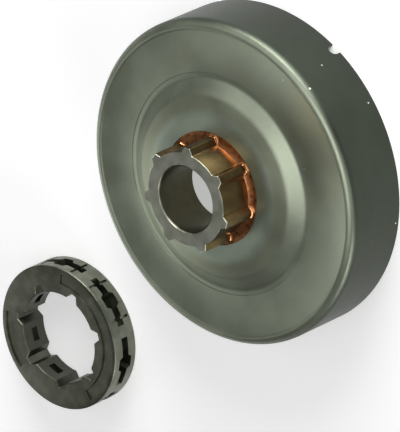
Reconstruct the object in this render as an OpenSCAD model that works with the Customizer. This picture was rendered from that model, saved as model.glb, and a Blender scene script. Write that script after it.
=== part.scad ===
// Chainsaw rim sprocket: a pressed clutch drum with a splined hub, and its loose rim.
// The drum stands on its open mouth at z = 0 with the hub up, and the rim lies flat beside it.
// Millimetres. The drum's axis is the Z axis.

/* [Drum cup] */
// Outside diameter of the drum
drum_d = 79.6; // [66:0.2:96]
// Height of the drum's shoulder above its open mouth
drum_h = 16.9; // [14:0.1:24]
// Thickness of the cylindrical wall
wall_t = 2.3; // [1.8:0.1:3]
// Thickness of the pressed end plate
plate_t = 2.3; // [1.8:0.1:3]
// Outside radius of the front corner
corner_r = 2.2; // [1:0.1:3.5]
// Radius inside the front corner
inner_corner_r = 1.6; // [0.8:0.1:3]
// Width of the coined line between the corner and the end plate
coin_w = 0.5; // [0.3:0.1:0.9]
// Depth of the coined line
coin_depth = 0.22; // [0.1:0.01:0.35]
// Diameter of the fine circle where the plate starts to rise
step_d = 54.2; // [48:0.2:58]
// Height of the fine step at that circle
step_h = 0.12; // [0.05:0.01:0.3]
// Rise of the flat outer ring of the plate, from the corner to the circle
ring_rise = 0.5; // [0:0.1:1]
// Distance from the fine circle in to the foot of the slope
slope_lead = 1.2; // [0.6:0.1:2]
// Diameter of the crest above the slope
crest_d = 45; // [40:0.5:49]
// Rise of the slope, from the circle to the crest
slope_rise = 2; // [0.8:0.1:2.5]
// Diameter of the flat seat round the hub
seat_d = 35; // [31:0.5:40]
// Rise from the crest to the flat seat
seat_rise = 1.1; // [0.3:0.1:1.6]
// Radius of the bend at the foot of the slope
foot_bend_r = 2.5; // [1:0.5:4]
// Radius of the bend at the crest
crest_bend_r = 5; // [2:0.5:7]
// Radius of the bend at the edge of the flat seat
seat_bend_r = 12; // [4:0.5:16]
// Width of the oil pump drive notch in the mouth's edge
notch_w = 2.6; // [1.8:0.1:4]
// Depth of that notch
notch_depth = 2.4; // [1.5:0.1:4]
// Direction of that notch
notch_angle = 13.9; // [0:0.1:360]

/* [Splined hub] */
// Bore for the crankshaft's needle cage
bore_d = 16; // [13:0.1:19.2]
// Diameter at the bottom of the splines
spline_root_d = 22.8; // [21.6:0.1:23]
// Diameter over the splines
spline_tip_d = 25.8; // [24.6:0.1:31]
// Width of a spline at its tip
spline_tip_w = 1.7; // [1.2:0.1:2.2]
// Slope of a spline's flank from the radial line
spline_flank = 25; // [10:1:30]
// End float of the rim on the splines
rim_float = 1.5; // [0.5:0.1:3]
// Direction of the first spline
spline_angle = 43.6; // [0:0.1:51.4]
// Wall of metal left between the splines' tips and the plain shank's outside
shank_extra = 0.2; // [0.1:0.1:0.6]
// How far the shank stands out below the end plate
shank_tail = 0.7; // [0.2:0.1:1.5]
// Chamfer at the ends of the bore
bore_chamfer = 0.4; // [0.2:0.1:0.8]
// Chamfer round the splined end
tip_chamfer = 0.25; // [0.1:0.05:0.5]

/* [Braze] */
// Width of the recess that holds the braze, outside the splines' tips
braze_w = 0.9; // [0.5:0.1:1.4]
// Depth of that recess in the end plate
braze_depth = 0.8; // [0.5:0.1:1.2]
// How far the braze's outer edge lies below the plate's surface
braze_sink = 0.25; // [0.1:0.05:0.4]
// How far the braze climbs up the hub between the splines
braze_climb = 0.5; // [0.2:0.1:0.9]

/* [Rim] */
// Pitch of the saw chain, from rivet to rivet
chain_pitch = 9.525; // [8.6:0.005:11.5]
// Depth of the rim's outside below the line of the chain's rivets
link_foot = 2.9; // [2.4:0.05:3.4]
// Thickness of the rim
rim_t = 7.6; // [6.3:0.1:9.2]
// Clearance between the rim's lands and the bottom of the hub's splines
land_gap = 0.25; // [0.1:0.05:0.5]
// Clearance between the keyways' bottoms and the splines' tips
keyway_gap = 0.55; // [0.2:0.05:0.8]
// Clearance between a keyway and a spline on each side
side_gap = 0.3; // [0.1:0.05:0.5]
// Chamfer round the rim's outer edges
rim_chamfer = 0.3; // [0.1:0.05:0.6]
// Chamfer round the rim's splined bore
rim_bore_chamfer = 0.2; // [0.1:0.05:0.4]
// Free space between the drum and the loose rim
rim_space = 26.3; // [5:0.1:60]
// Turn of the rim about its own axis
rim_turn = -27.7; // [-180:0.1:180]

/* [Chain pockets] */
// Width of the narrow slot for the drive links
slot_w = 2.1; // [1.5:0.1:2.6]
// Half the angle that a pocket spans at the rim's outside
slot_half_angle = 21; // [15:0.5:22.5]
// Length of a pocket's window in the bore
window_l = 3.4; // [2:0.1:4.5]
// Axial width of the wide notch in a pocket's middle
gullet_w = 4.2; // [3:0.1:5]
// Length of the wide notch along the rim, at the slot's edge
gullet_l = 4; // [2.5:0.1:5]
// Length of the wide notch at its own ends
gullet_end_l = 2.8; // [1.5:0.1:4]
// Depth of the wide notch
gullet_depth = 4; // [2:0.1:5]
// Half the angle between the two short cuts across a pocket
cut_half_angle = 15.4; // [10:0.1:19]
// Width of a short cut
cut_w = 0.7; // [0.4:0.1:1]
// Depth of a short cut
cut_depth = 0.6; // [0.3:0.1:1]
// Land left between a short cut and the rim's face
cut_land = 0.8; // [0.4:0.1:1.5]

/* [Sunk bands] */
// Width of the ridge between the keyways and the sunk bands on the rim's face
inner_ridge = 1; // [0.4:0.1:1.2]
// Width of the ridge between the sunk bands and the rim's outside
outer_ridge = 1.3; // [0.8:0.1:1.6]
// Depth of the sunk bands
band_depth = 0.3; // [0.1:0.05:0.5]
// Angle that the long band spans
long_band = 140; // [60:1:160]
// Angle that the short band spans
short_band = 50; // [20:1:70]

/* [Hidden] */
$fn = 96;
// Splines on the hub, and as many pockets in the rim
spline_count = 7;
pitch_angle = 360 / spline_count;
// The pocket that has no short cuts, counted from the long band's centre
plain_pocket = 6;
// Chords in the arc that rounds a corner
blend_steps = 6;
// How far a cutting shape stands out of what it cuts
over = 1;

drum_r = drum_d / 2;
mouth_r = drum_r - wall_t;
step_r = step_d / 2;
crest_r = crest_d / 2;
seat_r = seat_d / 2;
coin_r = drum_r - corner_r;
plate_edge_z = drum_h - coin_depth;
step_z = plate_edge_z + ring_rise;
crest_z = step_z + slope_rise;
seat_z = crest_z + seat_rise;

root_r = spline_root_d / 2;
tip_r = spline_tip_d / 2;
bore_r = bore_d / 2;
shank_r = tip_r + shank_extra;
shank_top_z = seat_z - braze_depth;
hub_low_z = seat_z - plate_t - shank_tail;
hub_top_z = seat_z + rim_t + rim_float;
braze_r = tip_r + braze_w;

// A pocket takes two links, so a link spans half the angle from pocket to pocket
rivet_r = chain_pitch / 2 / sin(pitch_angle / 4);
rim_r = rivet_r - link_foot;
rim_dist = drum_r + rim_space + rim_r;
land_r = root_r + land_gap;
keyway_r = tip_r + keyway_gap;
keyway_w = spline_tip_w + 2 * side_gap - 2 * keyway_gap * tan(spline_flank);
band_in_r = keyway_r + inner_ridge;
band_out_r = rim_r - outer_ridge;

// A unit vector along v
function unit(v) = v / norm(v);

// Points of the arc of radius r that rounds the corner b between a and c
function blend(a, b, c, r) =
    let (u = unit(a - b), v = unit(c - b), half = acos(u * v) / 2,
         centre = b + unit(u + v) * r / sin(half),
         from = b + u * r / tan(half) - centre, to = b + v * r / tan(half) - centre,
         start = atan2(from.y, from.x), turn = atan2(to.y, to.x) - start,
         sweep = turn > 180 ? turn - 360 : turn < -180 ? turn + 360 : turn)
    [for (i = [0 : blend_steps])
        centre + r * [cos(start + sweep * i / blend_steps), sin(start + sweep * i / blend_steps)]];

// A path through the corners of list p, each [radius, height, rounding]
function rounded(p) = [for (i = [0 : len(p) - 1])
    let (here = [p[i].x, p[i].y])
    each p[i].z == 0 ? [here] : blend([p[i - 1].x, p[i - 1].y], here, [p[i + 1].x, p[i + 1].y], p[i].z)];

// The drum's outside skin, from the mouth to the hole for the hub
function outer_skin() = rounded([
    [drum_r, 0, 0],
    [drum_r, drum_h, corner_r],
    [coin_r, drum_h, 0],
    [coin_r - coin_w / 2, plate_edge_z - coin_depth / 2, 0],
    [coin_r - coin_w, plate_edge_z, 0],
    [step_r + step_h, step_z, 0],
    [step_r, step_z - step_h, 0],
    [step_r - slope_lead, step_z, foot_bend_r],
    [crest_r, crest_z, crest_bend_r],
    [seat_r, seat_z, seat_bend_r],
    [braze_r, seat_z, 0]]);

// The inside skin, from the hole for the hub back to the mouth
function inner_skin() = rounded([
    [shank_r, seat_z - plate_t, 0],
    [seat_r, seat_z - plate_t, seat_bend_r],
    [crest_r, crest_z - plate_t, crest_bend_r],
    [step_r - slope_lead, step_z - plate_t, foot_bend_r],
    [mouth_r, plate_edge_z - plate_t, inner_corner_r],
    [mouth_r, 0, 0]]);

module drum_cup() {
    color([0.45, 0.47, 0.42])
    difference() {
        rotate_extrude()
            polygon(concat(outer_skin(),
                [[braze_r, shank_top_z], [shank_r, shank_top_z]], inner_skin()));
        rotate(notch_angle) pump_notch();
    }
}

// A notch with a round bottom, cut up into the mouth's edge
module pump_notch() {
    round_z = notch_depth - notch_w / 2;
    translate([mouth_r - over, 0, round_z])
        rotate([0, 90, 0]) cylinder(d = notch_w, h = wall_t + 2 * over);
    translate([mouth_r - over, -notch_w / 2, -over])
        cube([wall_t + 2 * over, notch_w, round_z + over]);
}

// Cross-section of the splines: teeth of width w at radius tip, on a core of radius root
module spline_section(root, tip, w) {
    foot_w = w + 2 * tip * tan(spline_flank);
    circle(r = root);
    intersection() {
        circle(r = tip);
        for (i = [0 : spline_count - 1]) rotate(i * pitch_angle)
            polygon([[0, -foot_w / 2], [tip, -w / 2], [tip + over, -w / 2 + over * tan(spline_flank)],
                [tip + over, w / 2 - over * tan(spline_flank)], [tip, w / 2], [0, foot_w / 2]]);
    }
}

// The hub's splined body, with its tips chamfered at the outer end
module splined_body() {
    intersection() {
        translate([0, 0, shank_top_z]) linear_extrude(hub_top_z - shank_top_z)
            rotate(spline_angle) spline_section(root_r, tip_r, spline_tip_w);
        rotate_extrude() polygon([[0, shank_top_z], [tip_r + over, shank_top_z],
            [tip_r + over, hub_top_z - tip_chamfer - over], [tip_r - tip_chamfer, hub_top_z], [0, hub_top_z]]);
    }
}

// A cone that opens downwards, which chamfers the bore's end at z = 0
module bore_chamfer_cone() {
    translate([0, 0, -over])
        cylinder(r1 = bore_r + bore_chamfer + over, r2 = bore_r - over, h = bore_chamfer + 2 * over);
}

module splined_hub() {
    color([0.66, 0.67, 0.58])
    difference() {
        union() {
            splined_body();
            translate([0, 0, hub_low_z]) cylinder(r = shank_r, h = shank_top_z - hub_low_z);
        }
        translate([0, 0, hub_low_z - over]) cylinder(r = bore_r, h = hub_top_z - hub_low_z + 2 * over);
        translate([0, 0, hub_low_z]) bore_chamfer_cone();
        translate([0, 0, hub_top_z]) mirror([0, 0, 1]) bore_chamfer_cone();
    }
}

// Height of the braze's surface at radius r, creeping up towards the hub
function braze_z(r) = seat_z - braze_sink + braze_climb * pow((braze_r - r) / (braze_r - root_r), 3);

// Copper that fills the recess round the splines and creeps up between them
module braze_ring() {
    inside_r = root_r - braze_w / 2;
    steps = 5;
    color([0.72, 0.36, 0.2])
    difference() {
        rotate_extrude() polygon(concat(
            [[inside_r, shank_top_z], [braze_r, shank_top_z]],
            [for (i = [0 : steps]) let (r = braze_r + (inside_r - braze_r) * i / steps)
                [r, braze_z(r)]]));
        translate([0, 0, shank_top_z - over]) linear_extrude(hub_top_z - shank_top_z)
            rotate(spline_angle) spline_section(root_r, tip_r, spline_tip_w);
    }
}

// Flat outline of the rim's splined bore
module keyway_section() {
    spline_section(land_r, keyway_r, keyway_w);
}

// One pocket in which a drive link sits, on the side of +X
module chain_pocket(has_cuts) {
    mid_z = rim_t / 2;
    slot_x = rim_r * cos(slot_half_angle);
    slot_y = rim_r * sin(slot_half_angle);
    reach = over / (slot_x - land_r) * (slot_y - window_l / 2);
    translate([0, 0, mid_z - slot_w / 2]) linear_extrude(slot_w)
        polygon([[land_r - over, -window_l / 2], [land_r, -window_l / 2],
            [slot_x, -slot_y], [rim_r + over, -slot_y - reach],
            [rim_r + over, slot_y + reach], [slot_x, slot_y],
            [land_r, window_l / 2], [land_r - over, window_l / 2]]);
    translate([rim_r - gullet_depth, 0, mid_z]) rotate([90, 0, 90])
        linear_extrude(gullet_depth + over)
            polygon([[-gullet_l / 2, -slot_w / 2], [-gullet_end_l / 2, -gullet_w / 2],
                [gullet_end_l / 2, -gullet_w / 2], [gullet_l / 2, -slot_w / 2],
                [gullet_l / 2, slot_w / 2], [gullet_end_l / 2, gullet_w / 2],
                [-gullet_end_l / 2, gullet_w / 2], [-gullet_l / 2, slot_w / 2]]);
    if (has_cuts) for (side = [-1, 1]) rotate(side * cut_half_angle)
        translate([rim_r - cut_depth, -cut_w / 2, cut_land])
            cube([cut_depth + over, cut_w, rim_t - 2 * cut_land]);
}

// A sunk band on the rim's face, centred on +X
module sunk_band(angle) {
    translate([0, 0, rim_t - band_depth]) rotate(-angle / 2)
        rotate_extrude(angle = angle)
            translate([band_in_r, 0]) square([band_out_r - band_in_r, band_depth + over]);
}

// A cone that opens upwards, which chamfers the lands' edge at z = 0
module land_chamfer_cone() {
    translate([0, 0, -rim_bore_chamfer - over])
        cylinder(r1 = land_r - over, r2 = land_r + rim_bore_chamfer + over, h = rim_bore_chamfer + 2 * over);
}

module rim_sprocket() {
    color([0.3, 0.31, 0.27])
    translate([-rim_dist, 0, 0]) rotate(rim_turn)
    difference() {
        rotate_extrude() polygon([[bore_r, 0], [rim_r - rim_chamfer, 0], [rim_r, rim_chamfer],
            [rim_r, rim_t - rim_chamfer], [rim_r - rim_chamfer, rim_t], [bore_r, rim_t]]);
        translate([0, 0, -over]) linear_extrude(rim_t + 2 * over) keyway_section();
        translate([0, 0, rim_t]) land_chamfer_cone();
        mirror([0, 0, 1]) land_chamfer_cone();
        for (i = [0 : spline_count - 1])
            rotate((i + 0.5) * pitch_angle) chain_pocket(i != plain_pocket);
        sunk_band(long_band);
        rotate(180) sunk_band(short_band);
    }
}

drum_cup();
splined_hub();
braze_ring();
rim_sprocket();
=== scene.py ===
import math

import bmesh
import bpy
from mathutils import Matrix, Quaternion, Vector


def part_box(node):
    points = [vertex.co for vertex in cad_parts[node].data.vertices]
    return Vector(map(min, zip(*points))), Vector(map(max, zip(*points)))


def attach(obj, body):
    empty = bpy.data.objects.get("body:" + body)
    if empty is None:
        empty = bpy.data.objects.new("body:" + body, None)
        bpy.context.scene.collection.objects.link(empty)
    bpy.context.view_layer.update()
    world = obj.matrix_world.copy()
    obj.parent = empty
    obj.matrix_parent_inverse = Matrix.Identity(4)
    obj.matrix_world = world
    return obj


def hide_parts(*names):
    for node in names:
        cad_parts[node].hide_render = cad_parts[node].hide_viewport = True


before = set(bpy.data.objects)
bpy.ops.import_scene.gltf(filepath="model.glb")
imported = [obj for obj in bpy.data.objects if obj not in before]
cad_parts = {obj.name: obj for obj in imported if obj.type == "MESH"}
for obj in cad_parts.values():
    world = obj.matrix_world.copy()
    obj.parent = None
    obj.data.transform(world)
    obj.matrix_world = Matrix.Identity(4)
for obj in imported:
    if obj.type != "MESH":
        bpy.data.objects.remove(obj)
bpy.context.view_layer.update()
mm = 0.001
splineCount = 7
pitchAngle = 2 * math.pi / splineCount


def linkToScene(name, mesh):
    obj = bpy.data.objects.new(name, mesh)
    bpy.context.scene.collection.objects.link(obj)
    return obj


def smoothMesh(obj, sharpAngle):
    obj.data.shade_smooth()
    obj.data.set_sharp_from_angle(angle=math.radians(sharpAngle))


def roundedPath(corners, steps):
    # corners are (x, y, rounding); each rounded corner becomes an arc of that radius
    path = []
    for i, (x, y, radius) in enumerate(corners):
        corner = Vector((x, y))
        if radius == 0:
            path.append(corner)
            continue
        before = (Vector(corners[i - 1][:2]) - corner).normalized()
        after = (Vector(corners[i + 1][:2]) - corner).normalized()
        half = before.angle(after) / 2
        centre = corner + (before + after).normalized() * radius / math.sin(half)
        start = corner + before * radius / math.tan(half) - centre
        end = corner + after * radius / math.tan(half) - centre
        turn = math.atan2(start.x * end.y - start.y * end.x, start.dot(end))
        for k in range(steps + 1):
            angle = math.atan2(start.y, start.x) + turn * k / steps
            path.append(centre + radius * Vector((math.cos(angle), math.sin(angle))))
    return path


def skinnedRings(name, rings, closed, looped):
    # rings of equally many points become quads
    # closed joins each ring's ends, looped joins the last ring to the first
    count = len(rings[0])
    points = [point for ring in rings for point in ring]
    faces = []
    for i in range(len(rings) if looped else len(rings) - 1):
        low, high = i * count, (i + 1) % len(rings) * count
        for k in range(count if closed else count - 1):
            nextK = (k + 1) % count
            faces.append((low + k, low + nextK, high + nextK, high + k))
    mesh = bpy.data.meshes.new(name)
    mesh.from_pydata([(x * mm, y * mm, z * mm) for x, y, z in points], [], faces)
    return linkToScene(name, mesh)


def lathe(name, profile, segments):
    rings = [[(r * math.cos(2 * math.pi * k / segments), r * math.sin(2 * math.pi * k / segments), z)
              for k in range(segments)] for r, z in profile]
    return skinnedRings(name, rings, True, True)


def blockMesh(name, width, depth, height, taper=1.0):
    # a block about the origin, X by Y by Z, whose top is scaled by taper in Y
    mesh = bpy.data.meshes.new(name)
    block = bmesh.new()
    bmesh.ops.create_cube(block, size=1)
    for vertex in block.verts:
        share = taper if vertex.co.z > 0 else 1
        vertex.co = Vector((vertex.co.x * width, vertex.co.y * depth * share, vertex.co.z * height)) * mm
    block.to_mesh(mesh)
    block.free()
    return linkToScene(name, mesh)


def prism(name, outline, low, high, axis):
    # extrudes a flat outline from low to high: along Z, or along X with the outline in Y and Z
    put = (lambda a, b, t: (a, b, t)) if axis == "Z" else (lambda a, b, t: (t, a, b))
    count = len(outline)
    points = [put(a * mm, b * mm, t * mm) for t in (low, high) for a, b in outline]
    faces = [tuple(range(count)), tuple(range(count, 2 * count))]
    faces += [(k, (k + 1) % count, count + (k + 1) % count, count + k) for k in range(count)]
    mesh = bpy.data.meshes.new(name)
    mesh.from_pydata(points, [], faces)
    obj = linkToScene(name, mesh)
    pointOutwards(obj, 0)
    return obj


def pointOutwards(obj, mergeDistance):
    work = bmesh.new()
    work.from_mesh(obj.data)
    if mergeDistance:
        bmesh.ops.remove_doubles(work, verts=work.verts, dist=mergeDistance * mm)
    bmesh.ops.recalc_face_normals(work, faces=work.faces)
    work.to_mesh(obj.data)
    work.free()


def shiftMesh(obj, offset, turn=0.0):
    for vertex in obj.data.vertices:
        place = Quaternion((0, 0, 1), math.radians(turn)) @ vertex.co
        vertex.co = place + Vector(offset) * mm


# Geometry Nodes tree that repeats its own mesh round the Z axis
def buildAroundAxisTree():
    tree = bpy.data.node_groups.new("aroundAxis", "GeometryNodeTree")
    inputs = (("Geometry", "NodeSocketGeometry", None), ("Count", "NodeSocketInt", splineCount),
              ("Start Angle", "NodeSocketFloat", 0.0), ("Step Angle", "NodeSocketFloat", pitchAngle),
              ("Merge Distance", "NodeSocketFloat", 0.0), ("Material", "NodeSocketMaterial", None))
    for name, kind, value in inputs:
        socket = tree.interface.new_socket(name, in_out="INPUT", socket_type=kind)
        if value is not None:
            socket.default_value = value
    tree.interface.new_socket("Geometry", in_out="OUTPUT", socket_type="NodeSocketGeometry")

    def add(kind, **settings):
        node = tree.nodes.new(kind)
        for key, value in settings.items():
            setattr(node, key, value)
        return node

    given, result = add("NodeGroupInput"), add("NodeGroupOutput")
    points, index = add("GeometryNodePoints"), add("GeometryNodeInputIndex")
    angle = add("ShaderNodeMath", operation="MULTIPLY_ADD")
    turn = add("ShaderNodeCombineXYZ")
    copies, real = add("GeometryNodeInstanceOnPoints"), add("GeometryNodeRealizeInstances")
    merge, paint = add("GeometryNodeMergeByDistance"), add("GeometryNodeSetMaterial")
    join = tree.links.new
    join(given.outputs["Count"], points.inputs["Count"])
    join(index.outputs[0], angle.inputs[0])
    join(given.outputs["Step Angle"], angle.inputs[1])
    join(given.outputs["Start Angle"], angle.inputs[2])
    join(angle.outputs[0], turn.inputs["Z"])
    join(points.outputs[0], copies.inputs["Points"])
    join(given.outputs["Geometry"], copies.inputs["Instance"])
    join(turn.outputs[0], copies.inputs["Rotation"])
    join(given.outputs["Merge Distance"], merge.inputs["Distance"])
    join(copies.outputs[0], real.inputs[0])
    join(real.outputs[0], merge.inputs["Geometry"])
    join(merge.outputs[0], paint.inputs["Geometry"])
    join(given.outputs["Material"], paint.inputs["Material"])
    join(paint.outputs[0], result.inputs[0])
    return tree


aroundAxis = buildAroundAxisTree()


def repeatRound(obj, material=None, **values):
    # repeats obj round Z with the aroundAxis tree and turns the result into a plain mesh
    modifier = obj.modifiers.new("aroundAxis", "NODES")
    modifier.node_group = aroundAxis
    values["Material"] = material
    for socket in aroundAxis.interface.items_tree:
        if socket.in_out == "INPUT" and socket.name in values:
            modifier[socket.identifier] = values[socket.name]
    bpy.context.view_layer.update()
    evaluated = obj.evaluated_get(bpy.context.evaluated_depsgraph_get())
    plain = bpy.data.meshes.new_from_object(evaluated)
    obj.modifiers.clear()
    obj.data = plain
    return obj


def combine(obj, others, operation):
    # cuts or joins others with obj, and removes them
    for other in others:
        modifier = obj.modifiers.new(operation, "BOOLEAN")
        modifier.operation = operation
        modifier.solver = "EXACT"
        modifier.object = other
    bpy.context.view_layer.update()
    plain = bpy.data.meshes.new_from_object(obj.evaluated_get(bpy.context.evaluated_depsgraph_get()))
    obj.modifiers.clear()
    obj.data = plain
    for other in others:
        bpy.data.objects.remove(other)
    return obj


def toothOutline(root, tip, tipWidth, flank, footRound, tipRound):
    # half a pitch to half a pitch round one tooth, as (angle, radius) pairs in rising angle
    slope = math.tan(math.radians(flank))
    top = Vector((tip, tipWidth / 2))
    along = Vector((-1, slope))
    b, c = top.dot(along), top.dot(top) - root * root
    foot = top + along * (-b - math.sqrt(b * b - along.dot(along) * c)) / along.dot(along)
    footAngle = math.atan2(foot.y, foot.x)
    lead = footAngle + 1.6 * footRound / root + math.radians(1)
    half = roundedPath([(tip, 0, 0), (top.x, top.y, tipRound), (foot.x, foot.y, footRound),
                        (root * math.cos(lead), root * math.sin(lead), 0)], 5)
    half = [(math.atan2(p.y, p.x), p.length) for p in half]
    arcSteps = max(2, round(math.degrees(pitchAngle / 2 - lead) / 1.2))
    half += [(lead + (pitchAngle / 2 - lead) * k / arcSteps, root) for k in range(1, arcSteps + 1)]
    return [(-angle, radius) for angle, radius in reversed(half[1:])] + half


def toothedSector(name, outline, rings):
    # rings are ("circle", radius, height) or ("tooth", inset, limit, height), from the inside out
    skins = []
    for ring in rings:
        height = ring[-1]
        radii = [ring[1] if ring[0] == "circle" else min(radius - ring[1], ring[2]) for _, radius in outline]
        skins.append([(r * math.cos(a), r * math.sin(a), height) for (a, _), r in zip(outline, radii)])
    return skinnedRings(name, skins, False, True)


# Camera, at the photograph's angle: the drum stands on its mouth, so the picture is rolled
cameraValues = {"target": (-28.4, 1.11, 0.0), "distance": 1426.2, "azimuth": -12.036,
                "elevation": 44.208, "roll": -114.275, "lens": 500}


def makeCamera(values):
    azimuth, elevation = math.radians(values["azimuth"]), math.radians(values["elevation"])
    back = Vector((math.cos(azimuth) * math.cos(elevation), math.sin(azimuth) * math.cos(elevation),
                   math.sin(elevation)))
    lens = bpy.data.cameras.new("camera")
    lens.lens, lens.sensor_width = values["lens"], 36
    lens.clip_start, lens.clip_end = 0.05, 20
    camera = linkToScene("camera", lens)
    camera.location = (Vector(values["target"]) + back * values["distance"]) * mm
    camera.rotation_mode = "QUATERNION"
    roll = Quaternion((0, 0, 1), math.radians(values["roll"]))
    camera.rotation_quaternion = (-back).to_track_quat("-Z", "Y") @ roll
    bpy.context.scene.camera = camera
    return camera


camera = makeCamera(cameraValues)
print("camera made")


# Materials
def newMaterial(name):
    material = bpy.data.materials.new(name)
    material.use_nodes = True
    tree = material.node_tree
    shader = tree.nodes["Principled BSDF"]
    return material, tree, shader


def addNode(tree, kind, inputs=None, **settings):
    node = tree.nodes.new(kind)
    for key, value in settings.items():
        setattr(node, key, value)
    for key, value in (inputs or {}).items():
        if isinstance(value, bpy.types.NodeSocket):
            tree.links.new(value, node.inputs[key])
        else:
            node.inputs[key].default_value = value
    return node


def maths(tree, operation, first, second=0.0, third=0.0, clamp=False):
    return addNode(tree, "ShaderNodeMath", {0: first, 1: second, 2: third}, operation=operation,
                   use_clamp=clamp).outputs[0]


def ramp(tree, value, stops, smooth=True):
    node = addNode(tree, "ShaderNodeValToRGB", {0: value})
    node.color_ramp.interpolation = "EASE" if smooth else "LINEAR"
    while len(node.color_ramp.elements) < len(stops):
        node.color_ramp.elements.new(0.5)
    for element, (place, colour) in zip(node.color_ramp.elements, stops):
        element.position = place
        element.color = (*colour, 1) if len(colour) == 3 else (colour[0], colour[0], colour[0], 1)
    return node.outputs["Color"]


def mixColour(tree, factor, first, second, blend="MIX"):
    node = tree.nodes.new("ShaderNodeMix")
    node.data_type, node.blend_type = "RGBA", blend
    for place, value in ((0, factor), (6, first), (7, second)):
        if isinstance(value, bpy.types.NodeSocket):
            tree.links.new(value, node.inputs[place])
        else:
            node.inputs[place].default_value = value if place == 0 else (*value, 1)
    return node.outputs[2]


def between(tree, value, low, high):
    # 0 below low, 1 above high, and smooth between them
    node = addNode(tree, "ShaderNodeMapRange", {"Value": value, "From Min": low, "From Max": high},
                   interpolation_type="SMOOTHSTEP")
    return node.outputs["Result"]


def objectPlace(tree):
    # object coordinates in millimetres: X, Y, Z and the distance from the Z axis
    place = addNode(tree, "ShaderNodeTexCoord").outputs["Object"]
    scaled = addNode(tree, "ShaderNodeVectorMath", {0: place, "Scale": 1000.0}, operation="SCALE").outputs[0]
    axes = addNode(tree, "ShaderNodeSeparateXYZ", {0: scaled}).outputs
    flat = maths(tree, "SQRT", maths(tree, "MULTIPLY_ADD", axes["X"], axes["X"],
                                     maths(tree, "MULTIPLY", axes["Y"], axes["Y"])))
    return scaled, axes["X"], axes["Y"], axes["Z"], flat


def noise(tree, vector, scale, detail=4.0, roughness=0.55):
    return addNode(tree, "ShaderNodeTexNoise", {"Vector": vector, "Scale": scale, "Detail": detail,
                                                "Roughness": roughness}).outputs["Fac"]


def roundCoordinates(tree, x, y, z, radius, turnScale, radiusScale, heightScale):
    # stretches a pattern round the axis: the direction times turnScale, with radius and height beside it
    safe = maths(tree, "MAXIMUM", radius, 0.1)
    height = maths(tree, "MULTIPLY_ADD", z, heightScale, maths(tree, "MULTIPLY", radius, radiusScale))
    return addNode(tree, "ShaderNodeCombineXYZ", {
        "X": maths(tree, "MULTIPLY", maths(tree, "DIVIDE", x, safe), turnScale),
        "Y": maths(tree, "MULTIPLY", maths(tree, "DIVIDE", y, safe), turnScale),
        "Z": height}).outputs[0]


def bump(tree, height, strength, distance, normal=None):
    inputs = {"Height": height, "Strength": strength, "Distance": distance}
    if normal is not None:
        inputs["Normal"] = normal
    return addNode(tree, "ShaderNodeBump", inputs).outputs["Normal"]


# The wall tone is painted shade: the turned outer wall is coloured near black, far darker than the face, in
# place of the dark surroundings it reflects.
drumSteel = {"face": (0.50, 0.56, 0.43), "blue": (0.54, 0.63, 0.51), "brown": (0.48, 0.52, 0.38),
             "wall": (0.058, 0.068, 0.052), "inside": (0.30, 0.31, 0.26), "roughness": 0.42}


def makeDrumSteel(values):
    material, tree, shader = newMaterial("pressedSteel")
    place, x, y, z, radius = objectPlace(tree)
    faceTone = ramp(tree, maths(tree, "DIVIDE", radius, 40.0), [
        (0.345, values["blue"]), (0.44, values["blue"]), (0.50, values["brown"]),
        (0.58, values["face"]), (0.66, values["face"]), (0.90, values["face"])])
    wallShadeAndTurningMask = between(tree, radius, 38.6, 39.6)
    inside = maths(tree, "MULTIPLY", between(tree, maths(tree, "MULTIPLY", radius, -1.0), -38.0, -37.2),
                   between(tree, maths(tree, "MULTIPLY", z, -1.0), -16.0, -14.0))
    # Painted shade: the outer wall gets the near-black wall tone instead of the face tone; the same wall
    # mask also carries the turning marks' bump below.
    tone = mixColour(tree, wallShadeAndTurningMask, faceTone, values["wall"])
    tone = mixColour(tree, inside, tone, values["inside"])
    blotches = noise(tree, place, 0.09, 3.0)
    shade = ramp(tree, blotches, [(0.32, (0.78, 0.77, 0.76)), (0.68, (1.0, 1.0, 1.0))])
    tone = mixColour(tree, 0.55, tone, shade, "MULTIPLY")
    grain = noise(tree, place, 2.6, 3.0, 0.7)
    grainShade = ramp(tree, grain, [(0.3, (0.8, 0.8, 0.8)), (0.7, (1.0, 1.0, 1.0))])
    tone = mixColour(tree, 0.25, tone, grainShade, "MULTIPLY")
    specks = addNode(tree, "ShaderNodeTexVoronoi", {"Vector": place, "Scale": 0.17, "Randomness": 1.0})
    specks = between(tree, maths(tree, "MULTIPLY", specks.outputs["Distance"], -1.0), -0.045, -0.025)
    tone = mixColour(tree, specks, tone, (0.8, 0.82, 0.76))
    turned = noise(tree, roundCoordinates(tree, x, y, z, radius, 0.4, 0.0, 3.2), 1.0, 5.0, 0.8)
    turned = maths(tree, "MULTIPLY", turned, wallShadeAndTurningMask)
    shader.inputs["Metallic"].default_value = 1.0
    tree.links.new(tone, shader.inputs["Base Color"])
    rough = maths(tree, "MULTIPLY_ADD", blotches, 0.16, values["roughness"] - 0.08)
    tree.links.new(rough, shader.inputs["Roughness"])
    normal = bump(tree, grain, 0.12, 0.00005)
    tree.links.new(bump(tree, turned, 0.5, 0.00008, normal), shader.inputs["Normal"])
    return material


hubSteel = {"face": (0.62, 0.64, 0.53), "side": (0.15, 0.10, 0.05), "bore": (0.10, 0.095, 0.06),
            "stain": (0.30, 0.20, 0.10), "stainPlace": (9.9, -3.6), "roughness": 0.34}


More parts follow.
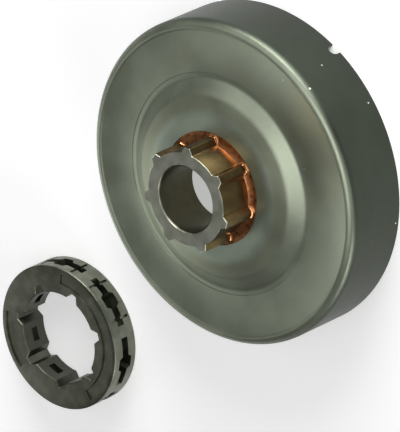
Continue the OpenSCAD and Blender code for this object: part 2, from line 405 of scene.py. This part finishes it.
def makeHubSteel(values, top):
    material, tree, shader = newMaterial("machinedSteel")
    place, x, y, z, radius = objectPlace(tree)
    onFace = between(tree, z, top - 0.30, top - 0.12)
    inBore = between(tree, maths(tree, "MULTIPLY", radius, -1.0), -8.6, -8.3)
    tone = mixColour(tree, inBore, values["side"], values["bore"])
    tone = mixColour(tree, onFace, tone, values["face"])
    blotches = noise(tree, place, 0.35, 4.0)
    shade = ramp(tree, blotches, [(0.3, (0.7, 0.68, 0.64)), (0.65, (1.0, 1.0, 1.0))])
    tone = mixColour(tree, 0.6, tone, shade, "MULTIPLY")
    shader.inputs["Metallic"].default_value = 1.0
    tree.links.new(tone, shader.inputs["Base Color"])
    rough = maths(tree, "MULTIPLY_ADD", blotches, 0.2, values["roughness"] - 0.1)
    tree.links.new(rough, shader.inputs["Roughness"])
    grain = noise(tree, place, 3.0, 4.0, 0.7)
    tree.links.new(bump(tree, grain, 0.15, 0.00004), shader.inputs["Normal"])
    return material


copper = {"bright": (0.66, 0.30, 0.13), "dark": (0.44, 0.17, 0.07), "roughness": 0.30}


def makeCopper(values):
    material, tree, shader = newMaterial("copperBraze")
    place, x, y, z, radius = objectPlace(tree)
    flow = noise(tree, place, 0.8, 4.0)
    tone = ramp(tree, flow, [(0.35, values["dark"]), (0.60, values["bright"])])
    shader.inputs["Metallic"].default_value = 1.0
    tree.links.new(tone, shader.inputs["Base Color"])
    rough = maths(tree, "MULTIPLY_ADD", flow, 0.2, values["roughness"] - 0.1)
    tree.links.new(rough, shader.inputs["Roughness"])
    tree.links.new(bump(tree, noise(tree, place, 1.6, 3.0), 0.1, 0.0001), shader.inputs["Normal"])
    return material


# The darkest tone here is painted shade for the lands and keyways inside the bore.
rimSteel = {"face": (0.13, 0.14, 0.105), "worn": (0.20, 0.21, 0.165), "paintedBoreShade": (0.05, 0.05, 0.04),
            "roughness": 0.40}


def makeRimSteel(values, centre, rim):
    material, tree, shader = newMaterial("sinteredSteel")
    place = addNode(tree, "ShaderNodeTexCoord").outputs["Object"]
    centred = addNode(tree, "ShaderNodeMapping", {"Vector": place, "Location": (-centre.x, -centre.y, 0.0)},
                      vector_type="POINT").outputs[0]
    scaled = addNode(tree, "ShaderNodeVectorMath", {0: centred, "Scale": 1000.0},
                     operation="SCALE").outputs[0]
    axes = addNode(tree, "ShaderNodeSeparateXYZ", {0: scaled}).outputs
    radius = maths(tree, "SQRT", maths(tree, "MULTIPLY_ADD", axes["X"], axes["X"],
                                       maths(tree, "MULTIPLY", axes["Y"], axes["Y"])))
    blotches = noise(tree, scaled, 0.3, 4.0)
    worn = ramp(tree, blotches, [(0.35, (0.0,)), (0.75, (1.0,))])
    tone = mixColour(tree, worn, values["face"], values["worn"])
    # Painted shade: the bore's lands and keyways, below the top edge, are darkened three quarters of the way
    # to the near-black tone.
    inBore = between(tree, maths(tree, "MULTIPLY", radius, -1.0), -13.6, -13.3)
    onFace = between(tree, axes["Z"], rim["thickness"] - 0.32, rim["thickness"] - 0.12)
    inner = maths(tree, "MULTIPLY", inBore, maths(tree, "SUBTRACT", 1.0, onFace))
    tone = mixColour(tree, maths(tree, "MULTIPLY", inner, 0.75), tone, values["paintedBoreShade"])
    shader.inputs["Metallic"].default_value = 1.0
    tree.links.new(tone, shader.inputs["Base Color"])
    rough = maths(tree, "MULTIPLY_ADD", blotches, 0.2, values["roughness"] - 0.1)
    tree.links.new(rough, shader.inputs["Roughness"])
    grain = noise(tree, scaled, 3.5, 4.0, 0.75)
    tree.links.new(bump(tree, grain, 0.35, 0.00006), shader.inputs["Normal"])
    return material


# Drum cup: one pressed shell, turned on its wall, with the oil pump notch in its open edge
drumLow, drumHigh = (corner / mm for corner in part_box("drum_cup"))
drum = {"radius": drumHigh.x, "seat": drumHigh.z, "wall": 2.3, "plate": 2.3, "shoulder": 16.9,
        "cornerRound": 2.2, "innerRound": 1.6, "coinWidth": 0.5, "coinDepth": 0.22,
        "stepRadius": 27.1, "stepHeight": 0.12, "ringRise": 0.5, "slopeLead": 1.2, "footRound": 2.5,
        "crestRadius": 22.5, "slopeRise": 2.0, "crestRound": 5.0, "seatRadius": 17.5, "seatRound": 12.0,
        "recessRadius": 13.8, "recessDepth": 0.8, "holeRadius": 13.1, "edgeRound": 0.15,
        "notchWidth": 2.6, "notchDepth": 2.4, "notchAngle": 13.9, "segments": 288}


def makeDrum(d, material):
    edgeZ = d["shoulder"] - d["coinDepth"]
    stepZ = edgeZ + d["ringRise"]
    crestZ = stepZ + d["slopeRise"]
    cornerR, mouthR = d["radius"] - d["cornerRound"], d["radius"] - d["wall"]
    outside = [
        (d["radius"], 0, 0), (d["radius"], d["edgeRound"], 0),
        (d["radius"], d["shoulder"], d["cornerRound"]), (cornerR, d["shoulder"], 0),
        (cornerR - d["coinWidth"] / 2, edgeZ + d["coinDepth"] / 2, 0), (cornerR - d["coinWidth"], edgeZ, 0),
        (d["stepRadius"] + d["stepHeight"], stepZ, 0), (d["stepRadius"], stepZ - d["stepHeight"], 0),
        (d["stepRadius"] - d["slopeLead"], stepZ, d["footRound"]),
        (d["crestRadius"], crestZ, d["crestRound"]),
        (d["seatRadius"], d["seat"], d["seatRound"]), (d["recessRadius"], d["seat"], d["edgeRound"]),
        (d["recessRadius"], d["seat"] - d["recessDepth"], 0),
        (d["holeRadius"], d["seat"] - d["recessDepth"], 0)]
    inside = [
        (d["holeRadius"], d["seat"] - d["plate"], 0),
        (d["seatRadius"], d["seat"] - d["plate"], d["seatRound"]),
        (d["crestRadius"], crestZ - d["plate"], d["crestRound"]),
        (d["stepRadius"] - d["slopeLead"], stepZ - d["plate"], d["footRound"]),
        (mouthR, edgeZ - d["plate"], d["innerRound"]), (mouthR, 0, 0)]
    profile = roundedPath(outside, 10) + roundedPath(inside, 8)
    obj = lathe("drumCup", profile, d["segments"])
    pointOutwards(obj, 0.001)
    half = d["notchWidth"] / 2
    notch = [(-half, -1), (half, -1)] + [
        (half * math.cos(math.pi * k / 16), d["notchDepth"] - half + half * math.sin(math.pi * k / 16))
        for k in range(17)]
    cutter = prism("notchCutter", notch, mouthR - 1, d["radius"] + 1, "X")
    shiftMesh(cutter, (0, 0, 0), d["notchAngle"])
    combine(obj, [cutter], "DIFFERENCE")
    smoothMesh(obj, 32)
    obj.data.materials.clear()
    obj.data.materials.append(material)
    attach(obj, "root")
    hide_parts("drum_cup")
    return obj


drumCup = makeDrum(drum, makeDrumSteel(drumSteel))
print("drum made")

# Splined hub: one seventh of it, with one spline, repeated round the axis
hubLow, hubHigh = (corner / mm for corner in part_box("splined_hub"))
hub = {"low": hubLow.z, "top": hubHigh.z, "bore": 8.0, "root": 11.4, "tip": 12.9, "tipWidth": 1.7,
       "flank": 25,
       "footRound": 0.35, "tipRound": 0.12, "boreChamfer": 0.4, "tipChamfer": 0.25, "edge": 0.07,
       "shank": hubHigh.x}
hubOutline = toothOutline(hub["root"], hub["tip"], hub["tipWidth"], hub["flank"], hub["footRound"],
                          hub["tipRound"])
splineTurn = 43.6


def makeHub(h, material):
    braze = drum["seat"] - drum["recessDepth"]
    anyRadius = h["tip"] + 1
    sector = toothedSector("splinedHub", hubOutline, [
        ("circle", h["bore"] + h["boreChamfer"], h["low"]),
        ("circle", h["bore"], h["low"] + h["boreChamfer"]),
        ("circle", h["bore"], h["top"] - h["boreChamfer"]),
        ("circle", h["bore"] + h["boreChamfer"], h["top"]),
        ("tooth", h["edge"], h["tip"] - h["tipChamfer"], h["top"]),
        ("tooth", 0.0, h["tip"] - h["tipChamfer"] + h["edge"], h["top"] - h["edge"]),
        ("tooth", 0.0, anyRadius, h["top"] - h["tipChamfer"]),
        ("tooth", 0.0, anyRadius, braze),
        ("circle", h["shank"], braze),
        ("circle", h["shank"], h["low"] + h["edge"]),
        ("circle", h["shank"] - h["edge"], h["low"])])
    repeatRound(sector, material, **{"Start Angle": math.radians(splineTurn), "Merge Distance": 0.002 * mm})
    pointOutwards(sector, 0)
    smoothMesh(sector, 25)
    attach(sector, "root")
    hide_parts("splined_hub")
    return sector


splinedHub = makeHub(hub, makeHubSteel(hubSteel, hub["top"]))
print("hub made")

# Braze: copper that lies in the recess, climbs the hub and beads at the splines' tips
braze = {"outer": 13.79, "sink": 0.28, "climb": 0.42, "bead": 0.3, "beadWidth": 0.5, "bottom": 19.48,
         "rows": 10}


def makeBraze(b, material):
    top = drum["seat"] - b["sink"]
    tipEdge = math.atan2(hub["tipWidth"] / 2, hub["tip"])
    rings = [[] for _ in range(b["rows"] + 2)]
    for angle, radius in hubOutline:
        inner = radius - 0.05
        fromTip = (abs(angle) - tipEdge) * hub["tip"]
        climb = b["climb"] + b["bead"] * math.exp(-(fromTip / b["beadWidth"]) ** 2)
        for k in range(b["rows"] + 1):
            share = k / b["rows"]
            r = b["outer"] + (inner - b["outer"]) * share
            rings[k].append((r * math.cos(angle), r * math.sin(angle), top + climb * share ** 2.5))
        rings[b["rows"] + 1].append((inner * math.cos(angle), inner * math.sin(angle), b["bottom"]))
    rings.append([(b["outer"] * math.cos(a), b["outer"] * math.sin(a), b["bottom"]) for a, _ in hubOutline])
    obj = skinnedRings("brazeRing", rings, False, True)
    repeatRound(obj, material, **{"Start Angle": math.radians(splineTurn), "Merge Distance": 0.002 * mm})
    pointOutwards(obj, 0)
    smoothMesh(obj, 40)
    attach(obj, "root")
    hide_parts("braze_ring")
    return obj


brazeRing = makeBraze(braze, makeCopper(copper))
print("braze made")

# Rim: a blank with seven keyways, cut by chain pockets, short cuts and sunk bands
rimLow, rimHigh = (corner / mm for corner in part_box("rim_sprocket"))
rim = {"centre": (rimLow + rimHigh) / 2, "radius": (rimHigh.x - rimLow.x) / 2, "thickness": rimHigh.z,
       "turn": -27.7, "land": 11.65, "keyway": 13.45, "keywayWidth": 1.787, "flank": 25, "landRound": 0.35,
       "keywayRound": 0.25, "edge": 0.3, "boreEdge": 0.2,
       "slotWidth": 2.1, "slotHalfAngle": 21, "window": 3.4, "notchWidth": 4.2, "notchLength": 4.0,
       "notchEndLength": 2.8, "notchDepth": 4.0, "cutHalfAngle": 15.4, "cutWidth": 0.7, "cutDepth": 0.6,
       "cutLand": 0.8, "bandDepth": 0.3, "bandInner": 14.45, "bandOuter": 17.2, "longBand": 140,
       "shortBand": 50, "plainPocket": 6}


def pocketCutters(r):
    slotX = r["radius"] * math.cos(math.radians(r["slotHalfAngle"]))
    slotY = r["radius"] * math.sin(math.radians(r["slotHalfAngle"]))
    reach = (slotY - r["window"] / 2) / (slotX - r["land"])
    half = [(r["land"] - 1, r["window"] / 2), (r["land"], r["window"] / 2), (slotX, slotY),
            (r["radius"] + 1, slotY + reach * (r["radius"] + 1 - slotX))]
    outline = [(x, -y) for x, y in half] + [(x, y) for x, y in reversed(half)]
    middle = r["thickness"] / 2
    slot = prism("slotCutter", outline, middle - r["slotWidth"] / 2, middle + r["slotWidth"] / 2, "Z")
    corners = [(r["notchLength"] / 2, r["slotWidth"] / 2), (r["notchEndLength"] / 2, r["notchWidth"] / 2)]
    ring = corners + [(-y, z) for y, z in reversed(corners)]
    ring += [(-y, -z) for y, z in corners] + [(y, -z) for y, z in reversed(corners)]
    notch = prism("notchCutter", [(y, z + middle) for y, z in ring], r["radius"] - r["notchDepth"],
                  r["radius"] + 1, "X")
    cutters = [repeatRound(slot, **{"Start Angle": pitchAngle / 2}),
               repeatRound(notch, **{"Start Angle": pitchAngle / 2})]
    for side in (-1, 1):
        cut = blockMesh("shortCutter", 2 * r["cutDepth"], r["cutWidth"], r["thickness"] - 2 * r["cutLand"])
        shiftMesh(cut, (r["radius"], 0, middle))
        first = (r["plainPocket"] + 1.5) * pitchAngle + side * math.radians(r["cutHalfAngle"])
        cutters.append(repeatRound(cut, **{"Count": splineCount - 1, "Start Angle": first}))
    return cutters


def bandCutter(r, spread, middleAngle):
    steps = round(spread / 2)
    angles = [math.radians(middleAngle - spread / 2 + spread * k / steps) for k in range(steps + 1)]
    outline = [(r["bandInner"] * math.cos(a), r["bandInner"] * math.sin(a)) for a in angles]
    outline += [(r["bandOuter"] * math.cos(a), r["bandOuter"] * math.sin(a)) for a in reversed(angles)]
    return prism("bandCutter", outline, r["thickness"] - r["bandDepth"], r["thickness"] + 1, "Z")


def makeRim(r, material):
    outline = toothOutline(r["land"], r["keyway"], r["keywayWidth"], r["flank"], r["landRound"],
                           r["keywayRound"])
    edge, soft, top, outer = r["edge"], r["boreEdge"], r["thickness"], r["radius"]
    bevelSteps = [(math.sin(math.pi / 2 * k / 3), math.cos(math.pi / 2 * k / 3)) for k in range(4)]
    anyRadius = r["keyway"] + 1
    rings = [("tooth", -soft, anyRadius, 0.0)]
    rings += [("circle", outer - edge + edge * s, edge - edge * c) for s, c in bevelSteps]
    rings += [("circle", outer - edge + edge * c, top - edge + edge * s) for s, c in bevelSteps]
    rings += [("tooth", -soft, anyRadius, top), ("tooth", 0.0, anyRadius, top - soft),
              ("tooth", 0.0, anyRadius, soft)]
    obj = toothedSector("rimSprocket", outline, rings)
    repeatRound(obj, material, **{"Merge Distance": 0.002 * mm})
    pointOutwards(obj, 0)
    combine(obj, pocketCutters(r) + [bandCutter(r, r["longBand"], 0), bandCutter(r, r["shortBand"], 180)],
            "DIFFERENCE")
    shiftMesh(obj, (r["centre"].x, r["centre"].y, 0), r["turn"])
    obj.data.materials.clear()
    obj.data.materials.append(material)
    smoothMesh(obj, 32)
    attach(obj, "root")
    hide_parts("rim_sprocket")
    return obj


rimSprocket = makeRim(rim, makeRimSteel(rimSteel, rim["centre"] * mm, rim))
print("rim made")

# Floor and light
studio = {"floorSize": 8.0, "floorTone": 0.8, "floorGlow": 0.42, "world": 0.06, "lampDistance": 0.9,
          "lampSize": 0.4, "lampAim": (-0.02, 0.0, 0.0)}
lamps = {"frontLow": (8, 51, 7.1), "frontSide": (8, 26, 3.5), "frontMid": (24, 34, 3.6),
         "footLow": (8, 272, 4.6), "footMid": (24, 318, 1.1), "topFront": (72, 0, 0.9),
         "topFoot": (72, 288, 0.8),
         "rearMid": (24, 165, 0.6), "headHigh": (56, 90, 0.35)}  # elevation, azimuth, watts


def makeFloor(values):
    mesh = bpy.data.meshes.new("floor")
    half = values["floorSize"] / 2
    corners = [(-half, -half, 0), (half, -half, 0), (half, half, 0), (-half, half, 0)]
    mesh.from_pydata(corners, [], [(0, 1, 2, 3)])
    floor = linkToScene("floor", mesh)
    material, tree, shader = newMaterial("floorPaper")
    shader.inputs["Base Color"].default_value = (values["floorTone"],) * 3 + (1,)
    shader.inputs["Roughness"].default_value = 1.0
    shader.inputs["Specular IOR Level"].default_value = 0.0
    rays = addNode(tree, "ShaderNodeLightPath").outputs
    seen = maths(tree, "ADD", rays["Is Camera Ray"], rays["Is Glossy Ray"])
    seen = maths(tree, "ADD", seen, rays["Is Transmission Ray"], clamp=True)
    shader.inputs["Emission Color"].default_value = (1, 1, 1, 1)
    tree.links.new(maths(tree, "MULTIPLY", seen, values["floorGlow"]), shader.inputs["Emission Strength"])
    mesh.materials.append(material)
    return floor


def areaLight(name, elevation, azimuth, power, values):
    # a square light that faces the part from that direction
    up, turn = math.radians(elevation), math.radians(azimuth)
    towards = Vector((math.cos(up) * math.cos(turn), math.cos(up) * math.sin(turn), math.sin(up)))
    data = bpy.data.lights.new(name, "AREA")
    data.shape, data.size, data.energy = "SQUARE", values["lampSize"], power
    light = linkToScene(name, data)
    light.location = Vector(values["lampAim"]) + towards * values["lampDistance"]
    light.rotation_mode = "QUATERNION"
    light.rotation_quaternion = (-towards).to_track_quat("-Z", "Y")
    return light


floor = makeFloor(studio)
world = bpy.data.worlds.new("studio")
bpy.context.scene.world = world
world.use_nodes = True
world.node_tree.nodes["Background"].inputs["Color"].default_value = (1, 1, 1, 1)
world.node_tree.nodes["Background"].inputs["Strength"].default_value = studio["world"]
for lampName, (elevation, azimuth, power) in lamps.items():
    areaLight(lampName, elevation, azimuth, power, studio)
bpy.context.scene.view_settings.view_transform = "Standard"
print("studio made")
